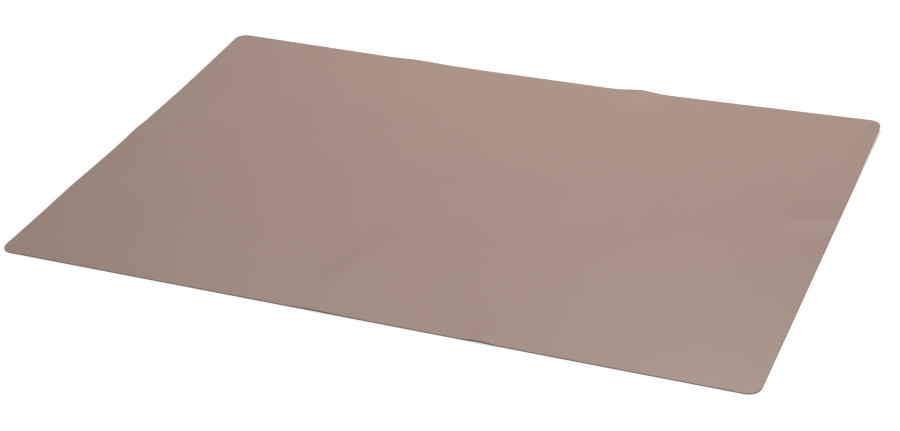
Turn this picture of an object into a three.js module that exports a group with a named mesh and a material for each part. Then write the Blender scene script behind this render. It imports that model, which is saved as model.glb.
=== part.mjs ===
import * as THREE from "three";

// A silicone baking mat in millimetres, +Z up: a glass-fibre cloth sealed between two silicone coats.
// The origin is on the worktop, under the middle of the mat, and +X runs along the mat's length.

// Whole mat
const MAT_LENGTH = 600;
const MAT_WIDTH = 400;
const CORNER_RADIUS = 10;
const EDGE_ROUND = 0.25;
const MOST_EDGE_ROUND = 0.9; // as a share of half the mat's thickness

// Layers: the silicone reaches past the cloth all round, so no fibre is bare at the cut edge
const COAT_THICKNESS = 0.3;
const CLOTH_THICKNESS = 0.3;
const CLOTH_MARGIN = 3;

// Corners that curl up from the worktop: the side of the mat that each is on, how high its tip stands,
// and how far along the length and the width from the tip its crease crosses the edges
const CORNER_CURLS = [
  { sideX: -1, sideY: 1, height: 2.9, creaseX: 250, creaseY: 115 },
  { sideX: 1, sideY: 1, height: 4.2, creaseX: 240, creaseY: 140 },
];
const CURL_EXPONENT = 1.2;

// Ripples that run in from an edge: where the crest meets the edge, measured from the edge's middle,
// how wide its two flanks are, how far in the ripple reaches, and how far the crest drifts along the edge
// for each millimetre inwards
const RIPPLES = [
  { edge: "front", crest: -30, before: 36, after: 50, height: 0.7, reach: 150, lean: 0.1 },
  { edge: "front", crest: 99, before: 22, after: 26, height: 1.2, reach: 30, lean: 0 },
  { edge: "back", crest: -120, before: 40, after: 60, height: 0.9, reach: 45, lean: 0 },
  { edge: "back", crest: 92, before: 36, after: 34, height: 2.0, reach: 40, lean: 0 },
  { edge: "left", crest: -96, before: 85, after: 85, height: 0.75, reach: 70, lean: 0 },
  { edge: "left", crest: 9, before: 46, after: 30, height: 0.75, reach: 110, lean: 0.1 },
  { edge: "right", crest: 39, before: 34, after: 40, height: 1.2, reach: 60, lean: -0.25 },
];
const CREST_SHARPNESS = 4;

// Facets: the least and greatest spacing of the grid lines, their spacing over the ripples,
// and the steps in each round
const FINEST_CELL = 5;
const RIPPLE_CELL = 15;
const COARSEST_CELL = 58;
const CORNER_STEPS = 3;
const EDGE_STEPS = 2;

// Finishes
const BAKING_FACE = { color: 0xa69085, roughness: 0.6, metalness: 0 };
const GLASS_FIBRE = { color: 0xd8d3c6, roughness: 0.85, metalness: 0 };
const UNDERSIDE = { color: 0x9c877c, roughness: 0.7, metalness: 0 };

// Heights of the layers above the worktop, where the mat lies flat
const CLOTH_BOTTOM = COAT_THICKNESS;
const CLOTH_TOP = CLOTH_BOTTOM + CLOTH_THICKNESS;
const MAT_TOP = CLOTH_TOP + COAT_THICKNESS;
const MID_PLANE = MAT_TOP / 2;

// Plan sizes: half the mat, the rectangle between the corner arcs' centres, and the cloth's corner radius
const HALF = { x: MAT_LENGTH / 2, y: MAT_WIDTH / 2 };
const CORE = new THREE.Vector2(HALF.x - CORNER_RADIUS, HALF.y - CORNER_RADIUS);
const CLOTH_RADIUS = CORNER_RADIUS - CLOTH_MARGIN;

// The four edges: the axis that runs along each, the axis across it and the side that it is on
const EDGES = {
  front: { along: "x", across: "y", side: -1 },
  back: { along: "x", across: "y", side: 1 },
  left: { along: "y", across: "x", side: -1 },
  right: { along: "y", across: "x", side: 1 },
};

// A ripple's section: 1 at the crest, t = 0, and level from t = -1 and t = 1 outwards,
// steepest close to the crest
function section(t) {
  const far = Math.min(1, Math.abs(t));
  return (1 - far) ** CREST_SHARPNESS * (1 + CREST_SHARPNESS * far);
}

// How a ripple dies away inwards: 1 at t = 0 and 0 from t = 1 on
function fade(t) {
  return t < 1 ? (1 + Math.cos(Math.PI * t)) / 2 : 0;
}

function curlLift(curl, point) {
  const inX = HALF.x - curl.sideX * point.x;
  const inY = HALF.y - curl.sideY * point.y;
  const share = 1 - inX / curl.creaseX - inY / curl.creaseY;
  return curl.height * Math.max(0, share) ** CURL_EXPONENT;
}

function rippleLift(ripple, point) {
  const { along, across, side } = EDGES[ripple.edge];
  const inward = HALF[across] - side * point[across];
  const fromCrest = point[along] - ripple.crest - ripple.lean * inward;
  const flank = fromCrest < 0 ? ripple.before : ripple.after;
  return ripple.height * section(fromCrest / flank) * fade(inward / ripple.reach);
}

// How far the mat stands off the worktop at a plan point
function liftAt(point) {
  const curls = CORNER_CURLS.map((curl) => curlLift(curl, point));
  const ripples = RIPPLES.map((ripple) => rippleLift(ripple, point));
  return [...curls, ...ripples].reduce((sum, lift) => sum + lift, 0);
}

// Evenly spaced lines over a ripple, with one at its crest
function rippleLines(ripple) {
  const drift = ripple.lean * ripple.reach;
  const before = Math.ceil((ripple.before + Math.max(0, -drift)) / RIPPLE_CELL);
  const after = Math.ceil((ripple.after + Math.max(0, drift)) / RIPPLE_CELL);
  const count = before + after + 1;
  return Array.from({ length: count }, (_, step) => ripple.crest + (step - before) * RIPPLE_CELL);
}

// Places along one axis where the mat's surface bends: the ripples and the creases
function bendsAlong(axis) {
  const ripples = RIPPLES.filter((ripple) => EDGES[ripple.edge].along === axis);
  const creases = CORNER_CURLS.map((curl) =>
    axis === "x" ? curl.sideX * (HALF.x - curl.creaseX) : curl.sideY * (HALF.y - curl.creaseY),
  );
  return [...ripples.flatMap(rippleLines), ...creases];
}

// Grid lines across one axis: one at each bend, even ones in the wide gaps, and a few through the corners
function gridLines(axis) {
  const reach = CORE[axis];
  const bends = bendsAlong(axis)
    .filter((bend) => Math.abs(bend) < reach - FINEST_CELL)
    .sort((a, b) => a - b);
  const lines = [-reach];
  for (const bend of [...bends, reach]) {
    const start = lines.at(-1);
    const gap = bend - start;
    if (gap < FINEST_CELL) continue;
    const cells = Math.ceil(gap / COARSEST_CELL);
    for (let cell = 1; cell <= cells; cell++) {
      lines.push(start + (gap * cell) / cells);
    }
  }
  for (let step = 1; step <= CORNER_STEPS; step++) {
    const line = reach + (CLOTH_RADIUS * step) / CORNER_STEPS;
    lines.push(line);
    lines.unshift(-line);
  }
  return lines;
}

const CORE_MIN = CORE.clone().negate();
const nearestInCore = (point) => point.clone().clamp(CORE_MIN, CORE);

// A grid point in plan: past the core in both directions, the square corner of the grid is bent into an arc
function planPoint(x, y) {
  const flat = new THREE.Vector2(x, y);
  const centre = nearestInCore(flat);
  const past = flat.sub(centre);
  const wide = Math.abs(past.x);
  const deep = Math.abs(past.y);
  const radius = Math.max(wide, deep);
  if (radius === 0) return centre;
  const turn = (Math.PI / 4) * (Math.min(wide, deep) / radius);
  const angle = wide >= deep ? turn : Math.PI / 2 - turn;
  const bent = new THREE.Vector2(
    Math.sign(past.x) * radius * Math.cos(angle),
    Math.sign(past.y) * radius * Math.sin(angle),
  );
  return centre.add(bent);
}

// The plan grid covers the cloth, and every layer uses it, so that the layers meet facet to facet
const columns = gridLines("x");
const rows = gridLines("y");
const gridPoints = rows.flatMap((y) => columns.map((x) => planPoint(x, y)));
const gridIndex = (column, row) => row * columns.length + column;

// The grid's rim, counter-clockwise from above
function rimIndices() {
  const lastColumn = columns.length - 1;
  const lastRow = rows.length - 1;
  const rim = [];
  for (let column = 0; column < lastColumn; column++) rim.push(gridIndex(column, 0));
  for (let row = 0; row < lastRow; row++) rim.push(gridIndex(lastColumn, row));
  for (let column = lastColumn; column > 0; column--) rim.push(gridIndex(column, lastRow));
  for (let row = lastRow; row > 0; row--) rim.push(gridIndex(0, row));
  return rim;
}

const rim = rimIndices();

// A rim point moved outwards, square to the mat's outline
function outwards(point, distance) {
  const normal = point.clone().sub(nearestInCore(point)).normalize();
  return point.clone().addScaledVector(normal, distance);
}

// One closed layer: a top and a bottom face over the grid, joined by a profile that runs round the mat.
// The profile's points hold how far out from the cloth's edge they lie (x) and how high (y).
function layerGeometry(topHeight, bottomHeight, profile) {
  const positions = [];
  const triangles = [];
  const addVertex = (point, height) => {
    positions.push(point.x, point.y, height + liftAt(point));
    return positions.length / 3 - 1;
  };
  const topFace = gridPoints.map((point) => addVertex(point, topHeight));
  const bottomFace = gridPoints.map((point) => addVertex(point, bottomHeight));

  for (let row = 0; row < rows.length - 1; row++) {
    for (let column = 0; column < columns.length - 1; column++) {
      const a = gridIndex(column, row);
      const b = gridIndex(column + 1, row);
      const c = gridIndex(column + 1, row + 1);
      const d = gridIndex(column, row + 1);
      triangles.push(topFace[a], topFace[b], topFace[c], topFace[a], topFace[c], topFace[d]);
      triangles.push(bottomFace[a], bottomFace[c], bottomFace[b]);
      triangles.push(bottomFace[a], bottomFace[d], bottomFace[c]);
    }
  }

  const rings = [
    { out: 0, vertices: rim.map((index) => topFace[index]) },
    ...profile.map(({ x: out, y: height }) => ({
      out,
      vertices: rim.map((index) => addVertex(outwards(gridPoints[index], out), height)),
    })),
    { out: 0, vertices: rim.map((index) => bottomFace[index]) },
  ];
  for (let ring = 0; ring < rings.length - 1; ring++) {
    const { out: upperOut, vertices: upper } = rings[ring];
    const { out: lowerOut, vertices: lower } = rings[ring + 1];
    upper.forEach((u0, index) => {
      const next = (index + 1) % rim.length;
      const u1 = upper[next];
      const l0 = lower[index];
      const l1 = lower[next];
      // Both coats split the face where they meet along the same diagonal
      if (upperOut > lowerOut) triangles.push(u0, l0, u1, u1, l0, l1);
      else triangles.push(u0, l0, l1, u0, l1, u1);
    });
  }

  const geometry = new THREE.BufferGeometry();
  geometry.setAttribute("position", new THREE.Float32BufferAttribute(positions, 3));
  geometry.setIndex(triangles);
  geometry.computeVertexNormals();
  return geometry;
}

// The rounded edge between the mat's face and its cut side, from the face outwards
function roundedEdge(faceHeight, sideDirection) {
  const radius = Math.min(EDGE_ROUND, MOST_EDGE_ROUND * MID_PLANE);
  return Array.from({ length: EDGE_STEPS + 1 }, (_, step) => {
    const angle = (Math.PI / 2) * (step / EDGE_STEPS);
    const out = CLOTH_MARGIN - radius + radius * Math.sin(angle);
    const drop = radius - radius * Math.cos(angle);
    return new THREE.Vector2(out, faceHeight + sideDirection * drop);
  });
}

// The face where the two coats meet, round the cloth
const jointOuter = new THREE.Vector2(CLOTH_MARGIN, MID_PLANE);
const jointInner = new THREE.Vector2(0, MID_PLANE);

function layerMesh(name, geometry, finish) {
  const mesh = new THREE.Mesh(geometry, new THREE.MeshStandardMaterial(finish));
  mesh.name = name;
  return mesh;
}

function topCoat() {
  const profile = [...roundedEdge(MAT_TOP, -1), jointOuter, jointInner];
  return layerMesh("top_silicone_coat", layerGeometry(MAT_TOP, CLOTH_TOP, profile), BAKING_FACE);
}

function glassCloth() {
  return layerMesh("glass_fibre_cloth", layerGeometry(CLOTH_TOP, CLOTH_BOTTOM, []), GLASS_FIBRE);
}

function bottomCoat() {
  const profile = [jointInner, jointOuter, ...roundedEdge(0, 1).reverse()];
  return layerMesh("bottom_silicone_coat", layerGeometry(CLOTH_BOTTOM, 0, profile), UNDERSIDE);
}

const mat = new THREE.Group();
mat.name = "silicone_baking_mat";
mat.add(bottomCoat(), glassCloth(), topCoat());

export default mat;
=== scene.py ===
import math

import bpy
import numpy as np
from mathutils import Color, Matrix, Vector


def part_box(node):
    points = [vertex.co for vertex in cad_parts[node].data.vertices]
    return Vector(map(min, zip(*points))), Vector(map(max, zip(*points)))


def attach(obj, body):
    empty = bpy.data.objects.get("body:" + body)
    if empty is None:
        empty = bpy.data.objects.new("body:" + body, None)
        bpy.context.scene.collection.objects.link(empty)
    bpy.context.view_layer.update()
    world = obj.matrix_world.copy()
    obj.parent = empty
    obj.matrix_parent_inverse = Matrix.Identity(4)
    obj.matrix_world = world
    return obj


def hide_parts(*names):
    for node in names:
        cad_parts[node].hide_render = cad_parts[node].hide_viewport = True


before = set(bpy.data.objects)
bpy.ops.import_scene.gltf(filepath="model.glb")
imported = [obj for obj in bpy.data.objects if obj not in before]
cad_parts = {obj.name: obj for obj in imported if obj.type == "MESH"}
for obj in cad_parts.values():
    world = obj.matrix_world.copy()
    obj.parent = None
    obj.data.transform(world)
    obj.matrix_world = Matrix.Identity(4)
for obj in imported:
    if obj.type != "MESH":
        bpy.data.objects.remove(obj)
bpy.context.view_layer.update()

# A silicone baking mat in metres, +Z up: a glass-fibre cloth sealed between two silicone coats

# Whole mat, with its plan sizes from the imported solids
coat_low, coat_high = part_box("top_silicone_coat")
cloth_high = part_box("glass_fibre_cloth")[1]
MAT_LENGTH = coat_high.x - coat_low.x
MAT_WIDTH = coat_high.y - coat_low.y
CLOTH_MARGIN = coat_high.x - cloth_high.x
CORNER_RADIUS = 0.010
EDGE_ROUND = 0.00025

# Layers
COAT_THICKNESS = 0.0003
CLOTH_THICKNESS = 0.0003

# Corners that curl up from the floor: the side of the mat that each is on, how high its tip stands,
# and how far along the length and the width from the tip its crease crosses the edges
CORNER_CURLS = [
    dict(side_x=-1, side_y=1, height=0.0029, crease_x=0.250, crease_y=0.115),
    dict(side_x=1, side_y=1, height=0.0042, crease_x=0.240, crease_y=0.140),
]
CURL_EXPONENT = 1.2

# Ripples that run in from an edge: where the crest meets the edge, measured from the edge's middle,
# how wide its two flanks are, how far in the ripple reaches, and how far the crest drifts along the edge
# for each metre inwards
RIPPLES = [
    dict(edge="front", crest=-0.030, before=0.036, after=0.050, height=0.00070, reach=0.150, lean=0.1),
    dict(edge="front", crest=0.099, before=0.022, after=0.026, height=0.00120, reach=0.030, lean=0),
    dict(edge="back", crest=-0.120, before=0.040, after=0.060, height=0.00090, reach=0.045, lean=0),
    dict(edge="back", crest=0.092, before=0.036, after=0.034, height=0.00200, reach=0.040, lean=0),
    dict(edge="left", crest=-0.096, before=0.085, after=0.085, height=0.00075, reach=0.070, lean=0),
    dict(edge="left", crest=0.009, before=0.046, after=0.030, height=0.00075, reach=0.110, lean=0.1),
    dict(edge="right", crest=0.039, before=0.034, after=0.040, height=0.00120, reach=0.060, lean=-0.25),
]
CREST_SHARPNESS = 4

# Faint ridges away from the edges: the middle of the crest, the turn of its line from +X in degrees,
# half its length, how wide the flanks to its right and left are, and its height
RIDGES = [
    dict(x=-0.026, y=-0.128, turn=72, half_length=0.075, right=0.040, left=0.036, height=0.0008),
    dict(x=-0.252, y=0.034, turn=-2, half_length=0.052, right=0.014, left=0.060, height=0.0008),
    dict(x=-0.030, y=0.143, turn=80, half_length=0.026, right=0.022, left=0.022, height=0.0009),
    dict(x=0.188, y=0.146, turn=-67, half_length=0.060, right=0.040, left=0.016, height=0.0010),
]

# Mesh: the widest grid cell, the steps through a round corner and through a rounded edge,
# and how far inside the rounded edge a line of vertices keeps the face level
CELL = 0.003
CORNER_STEPS = 6
EDGE_STEPS = 5
EDGE_SUPPORT = 0.0003

# Silicone: each side's two tones as in an image, 0 to 255, its roughness and the strength of its grain,
# and the noise that makes the clouding and the grain
BAKING_FACE = dict(light=(172, 145, 131), dark=(169, 142, 128), roughness=0.3, grain=0.25)
UNDERSIDE = dict(light=(160, 138, 126), dark=(154, 132, 121), roughness=0.6, grain=0.4)
SILICONE_SPECULAR = 0.13
CLOUDING = {"Scale": 14.0, "Detail": 4.0, "Roughness": 0.55}
CLOUDED_ROUGHNESS = 0.04
GRAIN = {"Scale": 1800.0, "Detail": 3.0, "Roughness": 0.6}
GRAIN_DEPTH = 0.00006

# The cut edge's painted shade: how much of the dark tone the upright cut side keeps, and the upward parts
# of the normal between which this painted shade turns into the face's colour
CUT_EDGE_PAINTED_SHADE = 0.6
PAINTED_SHADE_TO_FACE = (0.2, 0.8)

# Glass cloth: the tones of the gaps and of the threads, and the weave
CLOTH_DARK = (198, 192, 178)
CLOTH_LIGHT = (228, 224, 212)
CLOTH_ROUGHNESS = 0.6
THREAD_SCALE = 260.0
WEAVE_STRENGTH = 0.6
WEAVE_DEPTH = 0.0001

# Floor: its half width, how far it lies below the mat, how pale it is to the light that falls on things,
# and how pale it is to the eye
FLOOR_REACH = 6.0
FLOOR_DROP = 0.00002
FLOOR_BOUNCE = 0.5
FLOOR_PALENESS = 0.85

# The painted shade in the gap under the mat's edge, darker where the mat closes the floor in: how near the
# cover has to be, the open shares between which the floor turns from painted shade to pale, and how pale it
# is where the painted shade is darkest
GAP_REACH = 0.003
GAP_SAMPLES = 16
GAP_OPENNESS = (0.2, 0.55)
GAP_PAINTED_SHADE_PALENESS = 0.05

# The glow that keeps the floor white beyond the lamps: the distances from the mat's middle between which
# it grows, and its strengths there
GLOW_DISTANCE = (0.5, 1.3)
GLOW_STRENGTH = (0.5, 1.0)

# Light: the room's, and oval lamps aimed at the mat's middle. A lamp's turn is from the back, +Y, towards
# the right, +X, and its rise is from the floor, both in degrees.
ROOM_LIGHT = 0.05
LAMPS = [
    dict(name="softbox", turn=-20, rise=41, distance=1.6, width=1.5, height=0.4, power=4.5),
    dict(name="back", turn=10, rise=57, distance=1.05, width=0.45, height=0.32, power=5.7),
    dict(name="front", turn=165, rise=30, distance=1.6, width=1.4, height=0.8, power=13.0),
]

# The photograph's camera: its place, where it looks, and its focal length in pixels of the image
CAMERA_PLACE = (0.5453, -1.2347, 0.7681)
CAMERA_YAW = math.radians(-24.074)
CAMERA_PITCH = math.radians(30.482)
CAMERA_ROLL = math.radians(-3.214)
IMAGE_WIDTH = 900
FOCAL_PIXELS = 1939.9
SENSOR_WIDTH = 36.0

WHITE = (1.0, 1.0, 1.0, 1.0)

# Heights of the layers above the floor, where the mat lies flat
CLOTH_BOTTOM = COAT_THICKNESS
CLOTH_TOP = CLOTH_BOTTOM + CLOTH_THICKNESS
MAT_TOP = CLOTH_TOP + COAT_THICKNESS
MID_PLANE = MAT_TOP / 2

# Plan sizes: half the mat, the rectangle between the corner arcs' centres, and the cloth's corner radius
HALF = {"x": MAT_LENGTH / 2, "y": MAT_WIDTH / 2}
CORE = np.array([HALF["x"] - CORNER_RADIUS, HALF["y"] - CORNER_RADIUS])
CLOTH_RADIUS = CORNER_RADIUS - CLOTH_MARGIN

# The four edges: the axis that runs along each, the axis across it and the side that it is on
EDGES = {
    "front": ("x", "y", -1),
    "back": ("x", "y", 1),
    "left": ("y", "x", -1),
    "right": ("y", "x", 1),
}


def section(t):
    """A ripple's section: 1 at its crest, t = 0, and level from t = -1 and t = 1 outwards."""
    far = np.minimum(1, np.abs(t))
    return (1 - far) ** CREST_SHARPNESS * (1 + CREST_SHARPNESS * far)


def fade(t):
    """How a ripple dies away: 1 at t = 0 and 0 from t = 1 on."""
    return np.where(t < 1, (1 + np.cos(np.pi * t)) / 2, 0.0)


def curl_lift(points, side_x, side_y, height, crease_x, crease_y):
    in_x = HALF["x"] - side_x * points["x"]
    in_y = HALF["y"] - side_y * points["y"]
    share = np.maximum(0, 1 - in_x / crease_x - in_y / crease_y)
    return height * share**CURL_EXPONENT


def ripple_lift(points, edge, crest, before, after, height, reach, lean):
    along, across, side = EDGES[edge]
    inward = HALF[across] - side * points[across]
    from_crest = points[along] - crest - lean * inward
    flank = np.where(from_crest < 0, before, after)
    return height * section(from_crest / flank) * fade(inward / reach)


def ridge_lift(points, x, y, turn, half_length, right, left, height):
    along_x, along_y = math.cos(math.radians(turn)), math.sin(math.radians(turn))
    along = (points["x"] - x) * along_x + (points["y"] - y) * along_y
    to_left = (points["y"] - y) * along_x - (points["x"] - x) * along_y
    flank = np.where(to_left > 0, left, right)
    return height * section(to_left / flank) * fade(np.abs(along) / half_length)


def lift_at(plan):
    """How far the mat stands off the floor at each plan point."""
    points = {"x": plan[:, 0], "y": plan[:, 1]}
    curls = sum(curl_lift(points, **curl) for curl in CORNER_CURLS)
    ripples = sum(ripple_lift(points, **ripple) for ripple in RIPPLES)
    ridges = sum(ridge_lift(points, **ridge) for ridge in RIDGES)
    return curls + ripples + ridges


def grid_lines(core):
    """Grid lines across one axis: even ones over the core, and closer ones through the round corners."""
    inner = np.linspace(-core, core, math.ceil(2 * core / CELL) + 1)
    outer = core + CLOTH_RADIUS * np.arange(1, CORNER_STEPS + 1) / CORNER_STEPS
    return np.concatenate([-outer[::-1], inner, outer])


def plan_grid():
    """The plan points over the cloth, row by row, with the square corners of the grid bent into arcs."""
    columns, rows = grid_lines(CORE[0]), grid_lines(CORE[1])
    flat = np.array([(x, y) for y in rows for x in columns])
    centre = np.clip(flat, -CORE, CORE)
    past = flat - centre
    wide, deep = np.abs(past[:, 0]), np.abs(past[:, 1])
    radius = np.maximum(wide, deep)
    turn = np.pi / 4 * np.minimum(wide, deep) / np.where(radius > 0, radius, 1)
    angle = np.where(wide >= deep, turn, np.pi / 2 - turn)
    bent = np.sign(past) * radius[:, None] * np.stack([np.cos(angle), np.sin(angle)], axis=1)
    return centre + bent, len(columns), len(rows)


# The plan grid covers the cloth, and every layer uses it, so that the layers meet face to face
GRID, COLUMNS, ROWS = plan_grid()
INDEX = np.arange(COLUMNS * ROWS).reshape(ROWS, COLUMNS)
CELLS = np.stack([INDEX[:-1, :-1], INDEX[:-1, 1:], INDEX[1:, 1:], INDEX[1:, :-1]], axis=-1).reshape(-1, 4)

# The grid's rim, counter-clockwise from above
RIM = np.concatenate([INDEX[0, :-1], INDEX[:-1, -1], INDEX[-1, :0:-1], INDEX[:0:-1, 0]])


def outwards(plan, distance):
    """Rim points moved outwards, square to the mat's outline."""
    normal = plan - np.clip(plan, -CORE, CORE)
    return plan + distance * normal / np.linalg.norm(normal, axis=1)[:, None]


def raised(plan, height):
    """Plan points as vertices at a height above the floor, lifted as the mat lies."""
    return np.column_stack([plan, lift_at(plan) + height])


def link(name, data):
    """A new object in the scene."""
    piece = bpy.data.objects.new(name, data)
    bpy.context.scene.collection.objects.link(piece)
    return piece


def layer_piece(name, top, bottom, profile):
    """One closed layer: a top and a bottom face over the grid, joined by (out, height) points round it."""
    vertices = [raised(GRID, top), raised(GRID, bottom)]
    faces = [CELLS, CELLS[:, ::-1] + len(GRID)]
    rings = [RIM]
    start = 2 * len(GRID)
    for out, height in profile:
        vertices.append(raised(outwards(GRID[RIM], out), height))
        rings.append(start + np.arange(len(RIM)))
        start += len(RIM)
    rings.append(RIM + len(GRID))
    for upper, lower in zip(rings, rings[1:]):
        faces.append(np.stack([upper, lower, np.roll(lower, -1), np.roll(upper, -1)], axis=1))
    mesh = bpy.data.meshes.new(name)
    mesh.from_pydata(np.concatenate(vertices).tolist(), [], np.concatenate(faces).tolist())
    mesh.shade_smooth()
    return link(name, mesh)


def rounded_edge(face, direction):
    """The rounded edge between the mat's face and its cut side, from the face outwards."""
    angles = np.pi / 2 * np.arange(EDGE_STEPS + 1) / EDGE_STEPS
    outs = CLOTH_MARGIN - EDGE_ROUND * (1 - np.sin(angles))
    heights = face + direction * EDGE_ROUND * (1 - np.cos(angles))
    support = (CLOTH_MARGIN - EDGE_ROUND - EDGE_SUPPORT, face)
    return [support, *zip(outs, heights)]


class Nodes:
    """A short way to write the node tree of a material or a world."""

    def __init__(self, owner):
        owner.use_nodes = True
        self.tree = owner.node_tree
        self.tree.nodes.clear()

    def add(self, kind, inputs=None, **settings):
        """A node with its settings, and its inputs either set or linked; its outputs are returned."""
        node = self.tree.nodes.new(kind)
        for key, value in settings.items():
            setattr(node, key, value)
        for key, value in (inputs or {}).items():
            if isinstance(value, bpy.types.NodeSocket):
                self.tree.links.new(value, node.inputs[key])
            else:
                node.inputs[key].default_value = value
        return node.outputs

    def math(self, operation, *values):
        return self.add("ShaderNodeMath", dict(enumerate(values)), operation=operation)[0]

    def ramp(self, value, start, end):
        """A straight ramp from start's (value, result) to end's, level before and after it."""
        inputs = {"Value": value}
        inputs["From Min"], inputs["To Min"] = start
        inputs["From Max"], inputs["To Max"] = end
        return self.add("ShaderNodeMapRange", inputs)["Result"]

    def blend(self, share, first, second):
        """The first colour where the share is 0, and the second where it is 1."""
        inputs = {"Factor": share, "A": first, "B": second}
        return self.add("ShaderNodeMix", inputs, data_type="RGBA")["Result"]

    def noise(self, place, settings):
        return self.add("ShaderNodeTexNoise", {"Vector": place, **settings})["Fac"]


def linear(tone):
    """A tone written as in an image, 0 to 255, as linear RGBA."""
    colour = Color([channel / 255 for channel in tone]).from_srgb_to_scene_linear()
    return (*colour, 1.0)


def silicone(name, light, dark, roughness, grain):
    """Satin silicone: faint clouding in its colour and roughness, a fine grain and painted shade on its
    upright cut edge.
    """
    material = bpy.data.materials.new(name)
    n = Nodes(material)
    place = n.add("ShaderNodeTexCoord")["Object"]
    cloud = n.noise(place, CLOUDING)
    face = n.blend(cloud, linear(dark), linear(light))
    normal = n.add("ShaderNodeNewGeometry")["True Normal"]
    upward = n.math("ABSOLUTE", n.add("ShaderNodeSeparateXYZ", {"Vector": normal})["Z"])
    shaded_level, face_level = PAINTED_SHADE_TO_FACE
    face_share = n.ramp(upward, (shaded_level, 0.0), (face_level, 1.0))
    # Painted shade: the upright cut side gets a darker copy of the dark tone
    painted_shade = (*(CUT_EDGE_PAINTED_SHADE * channel for channel in linear(dark)[:3]), 1.0)
    smoothest, roughest = roughness - CLOUDED_ROUGHNESS, roughness + CLOUDED_ROUGHNESS
    bump = {"Height": n.noise(place, GRAIN), "Strength": grain, "Distance": GRAIN_DEPTH}
    shader = {
        "Base Color": n.blend(face_share, painted_shade, face),
        "Roughness": n.ramp(cloud, (0.0, smoothest), (1.0, roughest)),
        "Normal": n.add("ShaderNodeBump", bump)["Normal"],
        "Specular IOR Level": SILICONE_SPECULAR,
    }
    n.add("ShaderNodeOutputMaterial", {"Surface": n.add("ShaderNodeBsdfPrincipled", shader)["BSDF"]})
    return material


def glass_cloth(name):
    """Plain woven glass-fibre cloth."""
    material = bpy.data.materials.new(name)
    n = Nodes(material)
    threads = {"Vector": n.add("ShaderNodeTexCoord")["Object"], "Scale": THREAD_SCALE}
    warp = n.add("ShaderNodeTexWave", threads, bands_direction="X")["Fac"]
    weft = n.add("ShaderNodeTexWave", threads, bands_direction="Y")["Fac"]
    weave = n.math("MULTIPLY", warp, weft)
    bump = {"Height": weave, "Strength": WEAVE_STRENGTH, "Distance": WEAVE_DEPTH}
    shader = {
        "Base Color": n.blend(weave, linear(CLOTH_DARK), linear(CLOTH_LIGHT)),
        "Normal": n.add("ShaderNodeBump", bump)["Normal"],
        "Roughness": CLOTH_ROUGHNESS,
    }
    n.add("ShaderNodeOutputMaterial", {"Surface": n.add("ShaderNodeBsdfPrincipled", shader)["BSDF"]})
    return material


def dress(piece, material, node):
    piece.data.materials.append(material)
    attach(piece, "root")
    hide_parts(node)


def make_mat():
    """The three layers, with the face where the two coats meet round the cloth."""
    joint_outer = (CLOTH_MARGIN, MID_PLANE)
    joint_inner = (0.0, MID_PLANE)
    top_profile = [*rounded_edge(MAT_TOP, -1), joint_outer, joint_inner]
    bottom_profile = [joint_inner, joint_outer, *rounded_edge(0.0, 1)[::-1]]
    top_coat = layer_piece("top_coat", MAT_TOP, CLOTH_TOP, top_profile)
    cloth = layer_piece("cloth_core", CLOTH_TOP, CLOTH_BOTTOM, [])
    bottom_coat = layer_piece("bottom_coat", CLOTH_BOTTOM, 0.0, bottom_profile)

    baking_face = silicone("silicone_face", **BAKING_FACE)
    underside = silicone("silicone_back", **UNDERSIDE)
    dress(top_coat, baking_face, "top_silicone_coat")
    dress(cloth, glass_cloth("glass_cloth"), "glass_fibre_cloth")
    dress(bottom_coat, underside, "bottom_silicone_coat")


def seen_directly(n):
    """1 for rays from the camera, straight, mirrored or refracted, and 0 for light that falls on things."""
    path = n.add("ShaderNodeLightPath")
    mirrored = n.math("MAXIMUM", path["Is Glossy Ray"], path["Is Transmission Ray"])
    return n.math("MAXIMUM", path["Is Camera Ray"], mirrored)


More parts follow.
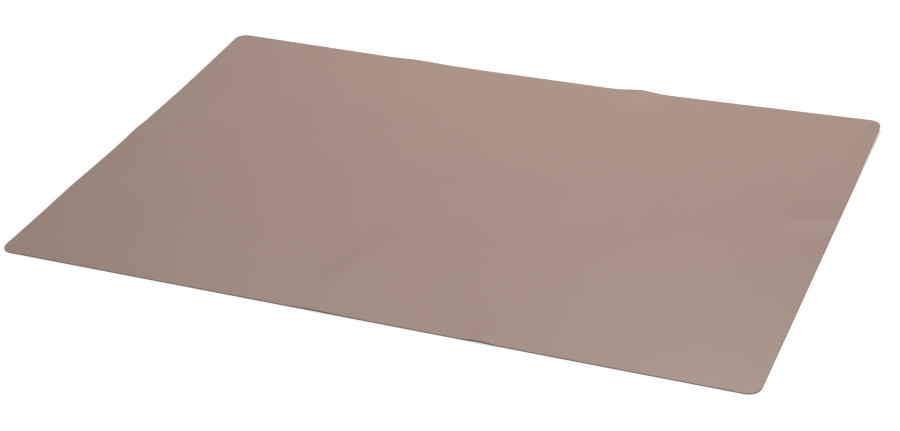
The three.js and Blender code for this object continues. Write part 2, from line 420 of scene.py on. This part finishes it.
def floor_white():
    """A pale floor that looks white, with painted shade only in the gap under the mat's edge."""
    material = bpy.data.materials.new("floor_white")
    n = Nodes(material)
    near = {"Color": WHITE, "Distance": GAP_REACH}
    openness = n.add("ShaderNodeAmbientOcclusion", near, samples=GAP_SAMPLES)["AO"]
    covered, clear = GAP_OPENNESS
    # Painted shade: the floor's colour and glow darken where the mat covers it closely
    painted_shade_factor = n.ramp(openness, (covered, GAP_PAINTED_SHADE_PALENESS), (clear, 1.0))
    place = n.add("ShaderNodeTexCoord")["Object"]
    away = n.add("ShaderNodeVectorMath", {0: place}, operation="LENGTH")["Value"]
    glow_start, glow_end = zip(GLOW_DISTANCE, GLOW_STRENGTH)
    strength = n.math("MULTIPLY", painted_shade_factor, n.ramp(away, glow_start, glow_end))
    glow = n.add("ShaderNodeEmission", {"Strength": strength})[0]
    pale = n.add("ShaderNodeBsdfDiffuse", {"Color": n.math("MULTIPLY", painted_shade_factor, FLOOR_PALENESS)})[0]
    seen = n.add("ShaderNodeAddShader", {0: pale, 1: glow})[0]
    bounce = n.add("ShaderNodeBsdfDiffuse", {"Color": (FLOOR_BOUNCE, FLOOR_BOUNCE, FLOOR_BOUNCE, 1.0)})[0]
    surface = n.add("ShaderNodeMixShader", {0: seen_directly(n), 1: bounce, 2: seen})[0]
    n.add("ShaderNodeOutputMaterial", {"Surface": surface})
    return material


def make_floor():
    mesh = bpy.data.meshes.new("floor")
    corners = [(-1, -1), (1, -1), (1, 1), (-1, 1)]
    mesh.from_pydata([(FLOOR_REACH * x, FLOOR_REACH * y, 0) for x, y in corners], [], [(0, 1, 2, 3)])
    mesh.materials.append(floor_white())
    floor = link("floor", mesh)
    floor.location.z = -FLOOR_DROP


def make_world():
    """A room that looks white and lights the mat only a little."""
    world = bpy.data.worlds.new("studio")
    bpy.context.scene.world = world
    n = Nodes(world)
    soft = n.add("ShaderNodeBackground", {"Color": WHITE, "Strength": ROOM_LIGHT})[0]
    white = n.add("ShaderNodeBackground", {"Color": WHITE, "Strength": 1.0})[0]
    surface = n.add("ShaderNodeMixShader", {0: seen_directly(n), 1: soft, 2: white})[0]
    n.add("ShaderNodeOutputWorld", {"Surface": surface})


def make_lamp(name, turn, rise, distance, width, height, power):
    turn, rise = math.radians(turn), math.radians(rise)
    towards = Vector((math.sin(turn) * math.cos(rise), math.cos(turn) * math.cos(rise), math.sin(rise)))
    data = bpy.data.lights.new(name, "AREA")
    data.shape = "ELLIPSE"
    data.size = width
    data.size_y = height
    data.energy = power
    lamp = link(name, data)
    lamp.location = distance * towards
    lamp.rotation_euler = towards.to_track_quat("Z", "Y").to_euler()


def make_camera():
    data = bpy.data.cameras.new("camera")
    data.sensor_width = SENSOR_WIDTH
    data.lens = FOCAL_PIXELS / IMAGE_WIDTH * SENSOR_WIDTH
    camera = link("camera", data)
    turn = Matrix.Rotation(-CAMERA_YAW, 4, "Z")
    tilt = Matrix.Rotation(math.pi / 2 - CAMERA_PITCH, 4, "X")
    roll = Matrix.Rotation(CAMERA_ROLL, 4, "Z")
    camera.matrix_world = Matrix.Translation(CAMERA_PLACE) @ turn @ tilt @ roll
    bpy.context.scene.camera = camera


make_mat()
make_floor()
make_world()
for lamp_settings in LAMPS:
    make_lamp(**lamp_settings)
make_camera()

bpy.context.scene.view_settings.view_transform = "Standard"
